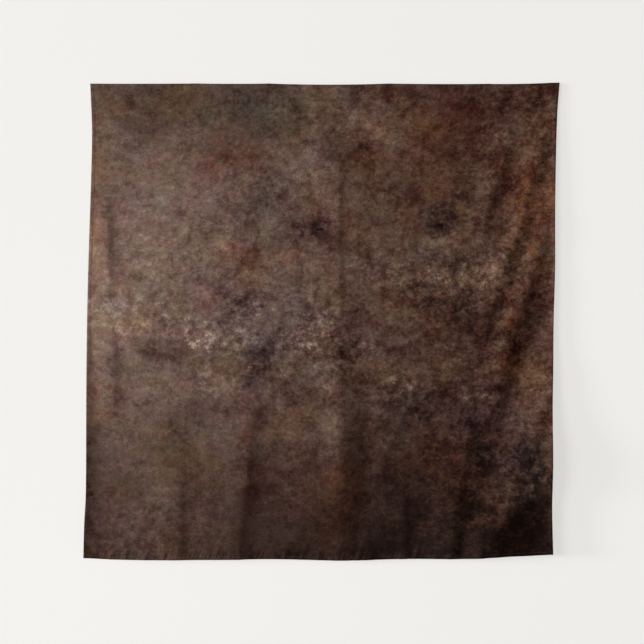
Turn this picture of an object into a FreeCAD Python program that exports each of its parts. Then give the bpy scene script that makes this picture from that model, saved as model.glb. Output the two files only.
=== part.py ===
import FreeCAD, Part
import math
import os

# Hanging fabric backdrop: one printed cloth with sewn hems, held flat on a wall by six hook-and-loop tabs.
# Millimetres. The origin is on the wall, behind the middle of the top edge. +X is to the right as seen from
# the front, +Y goes into the wall and +Z is up. The cloth hangs below the origin and in front of the wall.

# Cloth
CLOTH_HEIGHT = 1320.0
CLOTH_LAYER = 0.8        # one layer of cloth, thicker than the real 0.3 so that it makes a sound solid
LAYER_GAP = 0.2          # air between the cloth and a hem turned behind it
HEM_WIDTH = 10.0
PANEL_GAP = 3.0          # between two panels, at the line where the cloth bends
POLE_SPACING = 15.0      # how finely the cloth's surface is shaped

# Thread
THREAD_WIDTH = 0.6
THREAD_HEIGHT = 0.4
THREAD_FROM_EDGE = 8.6   # the stitching runs near the inner fold of the hem

# Tabs, from the wall outwards: adhesive pad, hook strip, loop strip
TAB_X = (-628.0, -351.0, -157.0, 177.0, 450.0, 624.0)
TAB_WIDTH = 40.0
TAB_HEIGHT = 20.0
TAB_TOP = -4.0           # the top of each tab below the origin
PAD_THICKNESS = 1.0
PAD_INSET = 1.0          # the pad is this much smaller than its hook strip, all round
TAPE_THICKNESS = 0.6     # the woven backing of a hook or loop strip
PILE_HEIGHT = 0.9        # the hooks or loops on it
PILE_INSET = 1.2         # the plain selvedge along the tape's edges
PILE_GAP = 0.2           # between the tips of the hooks and the loops
TAB_CORNER = 2.0

# Lines where the cloth bends, as distances below the origin
LIFT_LINE = 32.0
FOLD_LINE = 660.0

# How far the cloth stands off the wall
TAB_STACK = PAD_THICKNESS + 2.0 * (TAPE_THICKNESS + PILE_HEIGHT) + PILE_GAP
STAND_OFF_TOP = TAB_STACK + LAYER_GAP + CLOTH_LAYER + LAYER_GAP + CLOTH_LAYER
STAND_OFF_BOTTOM = 16.2
HANG_FROM = 450.0        # the cloth lies close to the wall down to here
HANG_TO = 1100.0         # and from here down it hangs STAND_OFF_BOTTOM clear of it

# The top edge: its height at each tab, and how far it sags between one tab and the next
TAB_RISE = (-0.5, 0.0, -0.1, -0.2, -1.0, 1.8)
BAY_SAG = (0.7, 1.2, 3.4, 1.2, 1.8)
BAY_BULGE = (0.8, 1.2, 2.2, 1.2, 1.6)   # how far the top edge bows off the wall in each bay
BULGE_REACH = 200.0

# The other edges, as points (share of the way along, position): left and right go down, bottom goes right
LEFT_EDGE = (
    (0.0, -650.3), (0.1, -645.2), (0.2, -647.8), (0.43, -657.0), (0.6, -659.7), (0.86, -660.5),
    (0.93, -665.0), (1.0, -667.5),
)
RIGHT_EDGE = (
    (0.0, 651.0), (0.065, 644.5), (0.16, 640.5), (0.28, 638.0), (0.39, 638.0), (0.5, 633.8),
    (0.6, 632.0), (0.7, 629.5), (0.8, 629.2), (0.9, 628.0), (1.0, 630.8),
)
BOTTOM_EDGE = (
    (0.0, -1314.0), (0.06, -1318.5), (0.15, -1320.8), (0.28, -1319.5), (0.41, -1317.7), (0.55, -1321.5),
    (0.68, -1317.2), (0.82, -1316.2), (0.875, -1311.8), (0.95, -1308.8), (1.0, -1304.0),
)

# The folds. Each has the line of its crest as points (x, z) from top to bottom, its width on the left and on
# the right of that line, and its height off the cloth, which is negative for a trough. A fold fades out at
# both ends, so one that runs off the bottom edge ends below it.
FOLDS = {
    "centre crease": (((37.0, -140.0), (38.0, -720.0)), 45.0, 12.0, 3.6),
    "centre ridge": (((44.0, -600.0), (46.0, -950.0), (48.0, -1360.0)), 36.0, 42.0, 9.5),
    "centre pocket": (((110.0, -840.0), (113.0, -1270.0)), 36.0, 32.0, -8.5),
    "pocket's rim": (((150.0, -860.0), (156.0, -1280.0)), 26.0, 50.0, 3.5),
    "crease under the pocket": (((46.0, -1220.0), (44.0, -1430.0)), 22.0, 13.0, 2.2),
    "crease beside it": (((115.0, -1200.0), (113.0, -1430.0)), 22.0, 14.0, 4.5),
    "ridge left of centre": (
        ((-194.0, -800.0), (-205.0, -950.0), (-222.0, -1120.0),
         (-245.0, -1330.0), (-258.0, -1600.0)), 70.0, 21.0, 10.5,
    ),
    "short ridge at lower left": (((-402.0, -1000.0), (-406.0, -1450.0)), 50.0, 16.0, 5.0),
    "faint line by the left edge": (((-604.0, -280.0), (-600.0, -620.0)), 30.0, 11.0, 4.2),
    "faint line below it": (((-588.0, -660.0), (-584.0, -960.0)), 30.0, 12.0, 3.4),
    "curl of the left edge": (((-664.0, -600.0), (-674.0, -1800.0)), 30.0, 20.0, 8.5),
    "crease from the right corner": (
        ((515.0, -80.0), (500.0, -180.0), (483.0, -250.0),
         (457.0, -320.0), (425.0, -420.0)), 34.0, 18.0, 8.5,
    ),
    "crease below it": (
        ((612.0, -120.0), (583.0, -226.0), (562.0, -296.0), (541.0, -406.0),
         (500.0, -489.0), (480.0, -573.0), (444.0, -660.0), (410.0, -760.0)), 32.0, 20.0, 10.0,
    ),
    "turned-out right edge": (((660.0, -60.0), (658.0, -1100.0)), 32.0, 30.0, 11.5),
    "slanting ridge": (
        ((618.0, -340.0), (592.0, -462.0), (552.0, -600.0),
         (511.0, -720.0), (482.0, -845.0), (460.0, -980.0)), 40.0, 28.0, 11.0,
    ),
    "crease along its top": (
        ((618.0, -340.0), (609.0, -412.0), (589.0, -492.0),
         (579.0, -553.0), (560.0, -628.0), (540.0, -700.0)), 26.0, 13.0, 5.0,
    ),
    "trough beside it": (
        ((635.0, -380.0), (612.0, -500.0), (586.0, -600.0),
         (560.0, -710.0), (522.0, -840.0), (480.0, -1000.0)), 28.0, 36.0, -6.0,
    ),
    "fold off the right edge": (
        ((650.0, -720.0), (620.0, -860.0), (600.0, -933.0),
         (579.0, -988.0), (558.0, -1044.0), (530.0, -1150.0)), 62.0, 17.0, 8.5,
    ),
    "great fold at lower right": (
        ((655.0, -840.0), (632.0, -1000.0), (603.0, -1099.0), (566.0, -1154.0),
         (517.0, -1196.0), (480.0, -1237.0), (466.0, -1300.0), (458.0, -1520.0)), 66.0, 42.0, 25.0,
    ),
    "flare of the right edge": (((650.0, -860.0), (655.0, -1750.0)), 40.0, 40.0, 19.0),
    "ridge right of centre": (
        ((400.0, -800.0), (398.0, -920.0), (377.0, -1080.0),
         (354.0, -1230.0), (345.0, -1480.0)), 60.0, 24.0, 12.5,
    ),
    "crease at the bottom right": (((432.0, -1190.0), (430.0, -1440.0)), 14.0, 10.0, 5.0),
    "crease at lower middle": (((217.0, -1080.0), (219.0, -1400.0)), 30.0, 13.0, 3.2),
}


def smooth(points, at):
    """The value at a place on a smooth curve through (place, value) points, in rising order of place."""
    last = len(points) - 1
    i = 0
    while i < last - 1 and at > points[i + 1][0]:
        i += 1
    (a, start), (b, end) = points[i], points[i + 1]
    before = points[i - 1] if i > 0 else points[i]
    after = points[i + 2] if i + 2 <= last else points[i + 1]
    slope_start = (end - before[1]) / (b - before[0])
    slope_end = (after[1] - start) / (after[0] - a)
    t = (at - a) / (b - a)
    across = b - a
    return (
        (2.0 * t ** 3 - 3.0 * t ** 2 + 1.0) * start
        + (t ** 3 - 2.0 * t ** 2 + t) * across * slope_start
        + (3.0 * t ** 2 - 2.0 * t ** 3) * end
        + (t ** 3 - t ** 2) * across * slope_end
    )


def ease(t):
    """0 up to 0, 1 from 1, and a smooth rise between."""
    t = min(max(t, 0.0), 1.0)
    return t * t * (3.0 - 2.0 * t)


def bay(x):
    """The bay between two tabs that x lies in, and how far across it x is, from 0 to 1."""
    i = 0
    while i < len(TAB_X) - 2 and x > TAB_X[i + 1]:
        i += 1
    return i, (x - TAB_X[i]) / (TAB_X[i + 1] - TAB_X[i])


def top_edge(x):
    """The height of the top edge: pulled up at the tabs, sagging between them."""
    i, t = bay(x)
    sag = 4.0 * t * (1.0 - t) * BAY_SAG[i] if 0.0 < t < 1.0 else 0.0
    return TAB_RISE[i] + t * (TAB_RISE[i + 1] - TAB_RISE[i]) - sag


def bulge(x, z):
    """How far the cloth bows off the wall between two tabs, which fades out down the cloth."""
    i, t = bay(x)
    clear = TAB_WIDTH / 2.0 / (TAB_X[i + 1] - TAB_X[i])
    t = min(max((t - clear) / (1.0 - 2.0 * clear), 0.0), 1.0)
    return BAY_BULGE[i] * math.sin(math.pi * t) ** 2 * math.exp(-((z / BULGE_REACH) ** 2))


def fold(x, z, line, left, right, height):
    """How far one fold lifts the cloth at (x, z)."""
    top, bottom = line[0][1], line[-1][1]
    if not bottom < z < top:
        return 0.0
    crest = smooth([(-point[1], point[0]) for point in line], -z)
    width = left if x < crest else right
    along = math.sin(math.pi * (top - z) / (top - bottom))
    return height * along * math.exp(-(((x - crest) / width) ** 2))


def stand_off(x, z):
    """The distance of the cloth's front from the wall."""
    share = ease((-z - HANG_FROM) / (HANG_TO - HANG_FROM))
    hang = STAND_OFF_TOP + (STAND_OFF_BOTTOM - STAND_OFF_TOP) * share
    return hang + bulge(x, z) + sum(fold(x, z, *each) for each in FOLDS.values())


def cloth_point(across, down):
    """The point of the cloth's front at shares of the way across and down it."""
    left = smooth(LEFT_EDGE, down)
    right = smooth(RIGHT_EDGE, down)
    x = left + across * (right - left)
    z = (1.0 - down) * top_edge(x) + down * smooth(BOTTOM_EDGE, across)
    return FreeCAD.Vector(x, -stand_off(x, z), z)


def pole_places(count, degree):
    """Where the poles of a clamped, evenly knotted spline lie from 0 to 1, and its knots' multiplicities."""
    spans = count - degree
    knots = [0.0] * degree + [i / spans for i in range(spans + 1)] + [1.0] * degree
    places = [sum(knots[i + 1:i + 1 + degree]) / degree for i in range(count)]
    mults = [degree + 1] + [1] * (spans - 1) + [degree + 1]
    return places, mults, [i / spans for i in range(spans + 1)]


def cloth_surface():
    """The whole front of the cloth, as one surface from 0 to 1 across and from 0 to 1 down."""
    degree = 3
    count = round(CLOTH_HEIGHT / POLE_SPACING) + degree
    places, mults, knots = pole_places(count, degree)
    poles = [[cloth_point(across, down) for down in places] for across in places]
    surface = Part.BSplineSurface()
    surface.buildFromPolesMultsKnots(poles, mults, mults, knots, knots, False, False, degree, degree)
    return surface


def layer(surface, across, down, behind, thickness):
    """A sheet that follows the cloth over ranges across and down it, from a depth behind its front."""
    patch = surface.copy()
    patch.segment(across[0], across[1], down[0], down[1])
    face = patch.toShape()
    face.translate(FreeCAD.Vector(0.0, behind, 0.0))
    return face.extrude(FreeCAD.Vector(0.0, thickness, 0.0))


def rounded_slab(centre_x, centre_z, width, height, front, thickness, corner):
    """A flat slab with rounded corners. front is how far its front stands off the wall."""
    slab = Part.makeBox(
        width, thickness, height, FreeCAD.Vector(centre_x - width / 2.0, -front, centre_z - height / 2.0)
    )
    upright = [edge for edge in slab.Edges if abs(edge.tangentAt(edge.FirstParameter).y) > 0.99]
    return slab.makeFillet(corner, upright)


def tape(centre_x, centre_z, wall_side, pile_outwards):
    """A hook or loop strip: a backing with its pile on one side. wall_side is how far off the wall it is."""
    whole = wall_side + TAPE_THICKNESS + PILE_HEIGHT
    if pile_outwards:
        backing_front, pile_front = wall_side + TAPE_THICKNESS, whole
    else:
        backing_front, pile_front = whole, wall_side + PILE_HEIGHT
    pile_width, pile_height = TAB_WIDTH - 2.0 * PILE_INSET, TAB_HEIGHT - 2.0 * PILE_INSET
    pile_corner = TAB_CORNER - PILE_INSET / 2.0
    backing = rounded_slab(
        centre_x, centre_z, TAB_WIDTH, TAB_HEIGHT, backing_front, TAPE_THICKNESS, TAB_CORNER
    )
    pile = rounded_slab(centre_x, centre_z, pile_width, pile_height, pile_front, PILE_HEIGHT, pile_corner)
    return backing.fuse(pile)


def tab_parts():
    """The three pieces of each tab, by name."""
    parts = {}
    centre_z = TAB_TOP - TAB_HEIGHT / 2.0
    for number, x in enumerate(TAB_X, start=1):
        parts[f"adhesive_pad_{number}"] = rounded_slab(
            x, centre_z, TAB_WIDTH - 2.0 * PAD_INSET, TAB_HEIGHT - 2.0 * PAD_INSET,
            PAD_THICKNESS, PAD_THICKNESS, TAB_CORNER - PAD_INSET / 2.0,
        )
        parts[f"hook_strip_{number}"] = tape(x, centre_z, PAD_THICKNESS, True)
        loops_at = PAD_THICKNESS + TAPE_THICKNESS + PILE_HEIGHT + PILE_GAP
        parts[f"loop_strip_{number}"] = tape(x, centre_z, loops_at, False)
    return parts


def cloth_parts():
    """The cloth's panels, its hems, corners and stitching, by name."""
    surface = cloth_surface()
    width = RIGHT_EDGE[0][1] - LEFT_EDGE[0][1]
    hem_across = HEM_WIDTH / width
    hem_down = HEM_WIDTH / CLOTH_HEIGHT
    lift = LIFT_LINE / CLOTH_HEIGHT
    bend = FOLD_LINE / CLOTH_HEIGHT
    half_gap = PANEL_GAP / 2.0 / CLOTH_HEIGHT
    rows = {
        "header": (0.0, lift - half_gap),
        "upper": (lift + half_gap, bend - half_gap),
        "lower": (bend + half_gap, 1.0),
    }
    parts = {}
    for name, down in rows.items():
        parts[f"cloth_{name}"] = layer(surface, (0.0, 1.0), down, 0.0, CLOTH_LAYER)

    # Hems lie behind the cloth. Each corner is the doubled end of the side hem.
    behind = CLOTH_LAYER + LAYER_GAP
    sides = {"left": (0.0, hem_across), "right": (1.0 - hem_across, 1.0)}
    between = (hem_across, 1.0 - hem_across)
    hems = {
        "top_hem": (between, (0.0, hem_down)),
        "bottom_hem": (between, (1.0 - hem_down, 1.0)),
    }
    for side, across in sides.items():
        hems[f"top_{side}_corner"] = (across, rows["header"])
        hems[f"{side}_hem_upper"] = (across, rows["upper"])
        hems[f"{side}_hem_lower"] = (across, (rows["lower"][0], 1.0 - hem_down))
        hems[f"bottom_{side}_corner"] = (across, (1.0 - hem_down, 1.0))
    for name, (across, down) in hems.items():
        parts[name] = layer(surface, across, down, behind, CLOTH_LAYER)

    # Threads lie on the front, near the inner fold of each hem.
    seam_across = (THREAD_FROM_EDGE / width, (THREAD_FROM_EDGE + THREAD_WIDTH) / width)
    seam_down = (THREAD_FROM_EDGE / CLOTH_HEIGHT, (THREAD_FROM_EDGE + THREAD_WIDTH) / CLOTH_HEIGHT)
    seams = {
        "top_stitching": ((seam_across[0], 1.0 - seam_across[0]), seam_down),
        "bottom_stitching": (
            (seam_across[0], 1.0 - seam_across[0]), (1.0 - seam_down[1], 1.0 - seam_down[0]),
        ),
    }
    for side, across in (("left", seam_across), ("right", (1.0 - seam_across[1], 1.0 - seam_across[0]))):
        seams[f"{side}_stitching_upper"] = (across, rows["upper"])
        seams[f"{side}_stitching_lower"] = (across, (rows["lower"][0], 1.0 - seam_down[1]))
    for name, (across, down) in seams.items():
        parts[name] = layer(surface, across, down, -THREAD_HEIGHT, THREAD_HEIGHT)
    return parts


os.makedirs("parts", exist_ok=True)
for node, shape in {**tab_parts(), **cloth_parts()}.items():
    shape.exportStep(f"parts/{node}.step")
    print(f"{node}: valid {shape.isValid()}, {shape.ShapeType}, volume {shape.Volume:.0f} mm3")
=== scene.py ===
"""Looks of the hanging fabric backdrop: a printed cloth with sewn hems, on six hook-and-loop tabs."""

import math

import bpy
import numpy as np
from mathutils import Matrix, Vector


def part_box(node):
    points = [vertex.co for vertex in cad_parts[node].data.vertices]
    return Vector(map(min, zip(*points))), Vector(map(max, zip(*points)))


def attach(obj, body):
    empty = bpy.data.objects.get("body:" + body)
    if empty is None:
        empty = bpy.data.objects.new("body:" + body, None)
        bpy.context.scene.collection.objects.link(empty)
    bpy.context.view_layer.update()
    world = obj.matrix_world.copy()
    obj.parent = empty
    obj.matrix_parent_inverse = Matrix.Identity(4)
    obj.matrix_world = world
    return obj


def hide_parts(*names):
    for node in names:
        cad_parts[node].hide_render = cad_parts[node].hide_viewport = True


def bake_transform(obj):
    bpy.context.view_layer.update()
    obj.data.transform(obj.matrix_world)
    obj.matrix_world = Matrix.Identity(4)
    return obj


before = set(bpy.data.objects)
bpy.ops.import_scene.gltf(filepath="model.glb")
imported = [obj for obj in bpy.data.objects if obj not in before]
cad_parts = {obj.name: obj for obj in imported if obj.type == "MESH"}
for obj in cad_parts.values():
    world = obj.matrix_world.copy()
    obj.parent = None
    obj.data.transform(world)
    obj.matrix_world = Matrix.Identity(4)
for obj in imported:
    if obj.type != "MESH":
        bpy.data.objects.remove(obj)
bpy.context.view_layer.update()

# -------------------- the design's own sizes, in metres

TABS = range(1, 7)
TAB_BOXES = [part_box(f"loop_strip_{number}") for number in TABS]
TAB_X = [(low.x + high.x) / 2 for low, high in TAB_BOXES]
TAB_WIDTH = TAB_BOXES[0][1].x - TAB_BOXES[0][0].x

CLOTH_WIDTH = 1.30       # finished, laid flat
CLOTH_HEIGHT = 1.32
CLOTH_THICKNESS = 0.00035
HEM_WIDTH = 0.010
HEM_THICKNESS = 0.0008   # the two turned layers behind the cloth
STITCH_FROM_EDGE = 0.0086
SPLIT = 0.435            # share of the way down where the upper and lower pieces of the cloth meet

STAND_OFF_TOP = 0.0062   # how far the cloth's front stands off the wall
STAND_OFF_BOTTOM = 0.0162
HANG_FROM, HANG_TO = 0.45, 1.10          # how far down it begins and ends to come farther off

# How far each tab holds the top edge up, then how far the edge sags and the cloth bows out in each bay
TAB_RISE = (-0.0005, 0.0, -0.0001, -0.0002, -0.0010, 0.0018)
BAY_SAG = (0.0007, 0.0012, 0.0034, 0.0012, 0.0018)
BAY_BULGE = (0.0008, 0.0012, 0.0022, 0.0012, 0.0016)
BULGE_REACH = 0.20       # how far down the bows fade

# The outline: the left and right edges as (share of the way down, x), the bottom edge as (share across, z)
LEFT_EDGE = (
    (0.0, -0.6503), (0.1, -0.6452), (0.2, -0.6478), (0.43, -0.6570), (0.6, -0.6597), (0.86, -0.6605),
    (0.93, -0.6650), (1.0, -0.6675),
)
RIGHT_EDGE = (
    (0.0, 0.6510), (0.065, 0.6445), (0.16, 0.6405), (0.28, 0.6380), (0.39, 0.6380), (0.5, 0.6338),
    (0.6, 0.6320), (0.7, 0.6295), (0.8, 0.6292), (0.9, 0.6280), (1.0, 0.6308),
)
BOTTOM_EDGE = (
    (0.0, -1.3140), (0.06, -1.3185), (0.15, -1.3208), (0.28, -1.3195), (0.41, -1.3177), (0.55, -1.3215),
    (0.68, -1.3172), (0.82, -1.3162), (0.875, -1.3118), (0.95, -1.3088), (1.0, -1.3040),
)

# Each fold: the line of its crest as points (x, z), its widths to the left and right of it, and its height
FOLDS = {
    "centre crease": (((0.037, -0.14), (0.038, -0.72)), 0.045, 0.012, 0.0036),
    "centre ridge": (((0.044, -0.60), (0.046, -0.95), (0.048, -1.36)), 0.036, 0.042, 0.0095),
    "centre pocket": (((0.110, -0.84), (0.113, -1.27)), 0.036, 0.032, -0.0085),
    "pocket's rim": (((0.150, -0.86), (0.156, -1.28)), 0.026, 0.050, 0.0035),
    "crease under the pocket": (((0.046, -1.22), (0.044, -1.43)), 0.022, 0.013, 0.0022),
    "crease beside it": (((0.115, -1.20), (0.113, -1.43)), 0.022, 0.014, 0.0045),
    "ridge left of centre": (
        ((-0.194, -0.80), (-0.205, -0.95), (-0.222, -1.12), (-0.245, -1.33), (-0.258, -1.60)),
        0.070, 0.021, 0.0105,
    ),
    "short ridge at lower left": (((-0.402, -1.00), (-0.406, -1.45)), 0.050, 0.016, 0.0050),
    "faint line by the left edge": (((-0.604, -0.28), (-0.600, -0.62)), 0.030, 0.011, 0.0042),
    "faint line below it": (((-0.588, -0.66), (-0.584, -0.96)), 0.030, 0.012, 0.0034),
    "curl of the left edge": (((-0.664, -0.60), (-0.674, -1.80)), 0.030, 0.020, 0.0085),
    "crease from the right corner": (
        ((0.515, -0.08), (0.500, -0.18), (0.483, -0.25), (0.457, -0.32), (0.425, -0.42)),
        0.034, 0.018, 0.0085,
    ),
    "crease below it": (
        ((0.612, -0.12), (0.583, -0.226), (0.562, -0.296), (0.541, -0.406), (0.500, -0.489),
         (0.480, -0.573), (0.444, -0.66), (0.41, -0.76)), 0.032, 0.020, 0.0100,
    ),
    "turned-out right edge": (((0.660, -0.06), (0.658, -1.10)), 0.032, 0.030, 0.0115),
    "slanting ridge": (
        ((0.618, -0.34), (0.592, -0.462), (0.552, -0.60), (0.511, -0.72), (0.482, -0.845), (0.460, -0.98)),
        0.040, 0.028, 0.0110,
    ),
    "crease along its top": (
        ((0.618, -0.34), (0.609, -0.412), (0.589, -0.492), (0.579, -0.553), (0.560, -0.628),
         (0.540, -0.70)), 0.026, 0.013, 0.0050,
    ),
    "trough beside it": (
        ((0.635, -0.38), (0.612, -0.50), (0.586, -0.60), (0.560, -0.71), (0.522, -0.84), (0.480, -1.00)),
        0.028, 0.036, -0.0060,
    ),
    "fold off the right edge": (
        ((0.650, -0.72), (0.620, -0.86), (0.600, -0.933), (0.579, -0.988), (0.558, -1.044), (0.530, -1.15)),
        0.062, 0.017, 0.0085,
    ),
    "great fold at lower right": (
        ((0.655, -0.84), (0.632, -1.00), (0.603, -1.099), (0.566, -1.154), (0.517, -1.196), (0.480, -1.237),
         (0.466, -1.30), (0.458, -1.52)), 0.066, 0.042, 0.0250,
    ),
    "flare of the right edge": (((0.650, -0.86), (0.655, -1.75)), 0.040, 0.040, 0.0190),
    "ridge right of centre": (
        ((0.400, -0.80), (0.398, -0.92), (0.377, -1.08), (0.354, -1.23), (0.345, -1.48)),
        0.060, 0.024, 0.0125,
    ),
    "crease at the bottom right": (((0.432, -1.19), (0.430, -1.44)), 0.014, 0.010, 0.0050),
    "crease at lower middle": (((0.217, -1.08), (0.219, -1.40)), 0.030, 0.013, 0.0032),
}


# -------------------- the cloth's shape

def ease(t):
    """0 up to 0, 1 from 1, and a smooth rise between."""
    t = np.clip(t, 0.0, 1.0)
    return t * t * (3.0 - 2.0 * t)


def smooth(points, at):
    """Values on a smooth curve through (place, value) points, in rising order of place."""
    places, values = (np.array(column) for column in zip(*points))
    slopes = np.empty(len(places))
    slopes[1:-1] = (values[2:] - values[:-2]) / (places[2:] - places[:-2])
    slopes[0] = (values[1] - values[0]) / (places[1] - places[0])
    slopes[-1] = (values[-1] - values[-2]) / (places[-1] - places[-2])
    i = np.clip(np.searchsorted(places, at, side="right") - 1, 0, len(places) - 2)
    across = places[i + 1] - places[i]
    t = (at - places[i]) / across
    return (
        (2 * t ** 3 - 3 * t ** 2 + 1) * values[i]
        + (t ** 3 - 2 * t ** 2 + t) * across * slopes[i]
        + (3 * t ** 2 - 2 * t ** 3) * values[i + 1]
        + (t ** 3 - t ** 2) * across * slopes[i + 1]
    )


def bays(x):
    """The bay between two tabs that each x lies in, and how far across it x is."""
    tabs = np.array(TAB_X)
    i = np.clip(np.searchsorted(tabs, x, side="right") - 1, 0, len(tabs) - 2)
    return i, (x - tabs[i]) / (tabs[i + 1] - tabs[i])


def top_edge(x):
    """The height of the top edge: pulled up at the tabs, sagging between them."""
    i, t = bays(x)
    rise, sag = np.array(TAB_RISE), np.array(BAY_SAG)
    return rise[i] + t * (rise[i + 1] - rise[i]) - 4 * np.clip(t * (1 - t), 0, 1) * sag[i]


def bulge(x, z):
    """How far the cloth bows off the wall between two tabs."""
    i, t = bays(x)
    tabs = np.array(TAB_X)
    clear = TAB_WIDTH / 2 / (tabs[i + 1] - tabs[i])
    t = np.clip((t - clear) / (1 - 2 * clear), 0, 1)
    return np.array(BAY_BULGE)[i] * np.sin(np.pi * t) ** 2 * np.exp(-((z / BULGE_REACH) ** 2))


def fold(x, z, line, left, right, height):
    """How far one fold lifts the cloth."""
    top, bottom = line[0][1], line[-1][1]
    crest = smooth([(-point[1], point[0]) for point in line], np.clip(-z, -top, -bottom))
    width = np.where(x < crest, left, right)
    along = np.sin(np.pi * np.clip((top - z) / (top - bottom), 0, 1))
    return height * along * np.exp(-(((x - crest) / width) ** 2))


def random_field(seed, x, z, width, length):
    """Smooth random values from -1 to 1, which change over the given width and length."""
    lattice = np.random.default_rng(seed).uniform(-1, 1, (256, 256))
    column, row = x / width + 128, z / length + 200
    i, j = np.floor(column).astype(int) % 255, np.floor(row).astype(int) % 255
    s, t = ease(column - np.floor(column)), ease(row - np.floor(row))
    upper = lattice[i, j] * (1 - s) + lattice[i + 1, j] * s
    lower = lattice[i, j + 1] * (1 - s) + lattice[i + 1, j + 1] * s
    return upper * (1 - t) + lower * t


# Random relief: seed, width and length of its bumps, and height
RIPPLES = (11, 0.030, 0.26, 0.00060)
FINE_RIPPLES = (12, 0.013, 0.040, 0.00016)
BROAD_RIPPLES = (13, 0.075, 0.11, 0.00035)
RIGHT_WRINKLES = (14, 0.0095, 0.060, 0.0022)
FINE_RIGHT_WRINKLES = (15, 0.010, 0.05, 0.0005)
BOTTOM_WRINKLES = (16, 0.012, 0.055, 0.0018)

# How far wrinkles reach from their edge, how far down those by the right edge begin, and where they're full
RIGHT_REACH, FINE_RIGHT_REACH, BOTTOM_REACH = 0.034, 0.018, 0.050
RIGHT_FROM, FINE_RIGHT_FROM, FULL_AFTER = 0.86, 0.05, 0.20

# The gathers by each edge: seed, spacing, height and how far they reach beyond the stitches
GATHERS = {
    "bottom": (21, 0.0092, 0.00100, 0.0160),
    "top": (23, 0.0085, 0.00022, 0.0050),
    "left": (25, 0.0090, 0.00035, 0.0050),
    "right": (27, 0.0090, 0.00045, 0.0060),
}
GATHER_SLANT = 0.45              # how far the bottom edge's gathers lean to the right, for each metre up
GATHER_WANDER = (0.035, 0.9)     # over what length their spacing wanders, and by what share of it
GATHER_FADE = 0.022              # over what length they come and go

HEM_RAISE, HEM_RAISED_TO, HEM_SLOPE = 0.00050, 0.0080, 0.0035
STITCH_DIP, STITCH_DIP_WIDTH = 0.00035, 0.0012
EDGE_DROP, EDGE_DROP_WIDTH = 0.00045, 0.0018


def bumps(kind, x, z):
    """One sort of random relief."""
    seed, width, length, height = kind
    return height * random_field(seed, x, z, width, length)


def gathers(edge, along, from_edge):
    """What a row of stitches pulls into the cloth along an edge, strongest at the stitches."""
    seed, spacing, height, reach = GATHERS[edge]
    wander_length, wander_share = GATHER_WANDER
    wander = random_field(seed, along, 0 * along, wander_length, 1.0) * wander_share
    strength = 0.55 + 0.45 * random_field(seed + 1, along, 0 * along, GATHER_FADE, 1.0)
    turn = 2 * np.pi * (along / spacing + wander)
    wave = 0.75 * np.sin(turn) - 0.40 * np.sin(2 * turn)
    beyond = np.maximum(from_edge - STITCH_FROM_EDGE, 0) / reach
    within = np.clip(from_edge / STITCH_FROM_EDGE, 0, 1)
    return height * strength * wave * np.exp(-(beyond ** 2) * 2.0) * (0.45 + 0.55 * within)


def hem_relief(from_edge):
    """A hem seen from the front: a slightly raised band, a dip at the stitches and a rounded outer edge."""
    band = HEM_RAISE * (1 - ease((from_edge - HEM_RAISED_TO) / HEM_SLOPE))
    dip = -STITCH_DIP * np.exp(-(((from_edge - STITCH_FROM_EDGE) / STITCH_DIP_WIDTH) ** 2))
    edge = -EDGE_DROP * (1 - ease(from_edge / EDGE_DROP_WIDTH))
    return band + dip + edge


def relief(x, z, edges):
    """The fine relief of the cloth: gentle ripples, wrinkles by the right and bottom edges, and the hems."""
    left, right, top, bottom = edges
    below_top_hem = ease((top - 0.02) / 0.12)
    ripples = bumps(RIPPLES, x + 0.06 * z, z) * (0.35 + 0.65 * ease(-z / 1.0))
    ripples += bumps(FINE_RIPPLES, x, z)
    ripples += bumps(BROAD_RIPPLES, x, z)
    slant = x * 0.80 + z * 0.60
    by_right_edge = np.exp(-((right / RIGHT_REACH) ** 2)) * ease((-z - RIGHT_FROM) / FULL_AFTER)
    wrinkles = by_right_edge * bumps(RIGHT_WRINKLES, slant, x - z)
    closer = np.exp(-((right / FINE_RIGHT_REACH) ** 2)) * ease((-z - FINE_RIGHT_FROM) / FULL_AFTER)
    wrinkles += closer * bumps(FINE_RIGHT_WRINKLES, slant, x - z)
    above_bottom_edge = np.exp(-((bottom / BOTTOM_REACH) ** 2))
    wrinkles += above_bottom_edge * bumps(BOTTOM_WRINKLES, x - 0.35 * z, z)
    gathered = gathers("bottom", x - GATHER_SLANT * bottom, bottom)
    gathered += gathers("top", x, top)
    gathered += gathers("left", z, left)
    gathered += gathers("right", z, right)
    hems = sum(hem_relief(distance) for distance in edges)
    return below_top_hem * (ripples + wrinkles) + gathered + hems


def cloth(across, down, behind=0.0):
    """Points of the cloth at shares of the way across and down it, behind its front by a distance."""
    across, down = np.broadcast_arrays(np.asarray(across, float), np.asarray(down, float))
    left, right = smooth(LEFT_EDGE, down), smooth(RIGHT_EDGE, down)
    x = left + across * (right - left)
    z = (1 - down) * top_edge(x) + down * smooth(BOTTOM_EDGE, across)
    farther = ease((-z - HANG_FROM) / (HANG_TO - HANG_FROM))
    hang = STAND_OFF_TOP + (STAND_OFF_BOTTOM - STAND_OFF_TOP) * farther
    off = hang + bulge(x, z) + sum(fold(x, z, *each) for each in FOLDS.values())
    from_sides = across * CLOTH_WIDTH, (1 - across) * CLOTH_WIDTH
    from_ends = down * CLOTH_HEIGHT, (1 - down) * CLOTH_HEIGHT
    off = off + relief(x, z, from_sides + from_ends)
    return np.stack([x, -off + behind, z], axis=-1)


def on_flat_cloth(across, down):
    """The same places on the cloth laid flat, in metres from the middle of its top edge."""
    return np.stack([(across - 0.5) * CLOTH_WIDTH, -down * CLOTH_HEIGHT], axis=-1)


# -------------------- meshes

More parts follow.
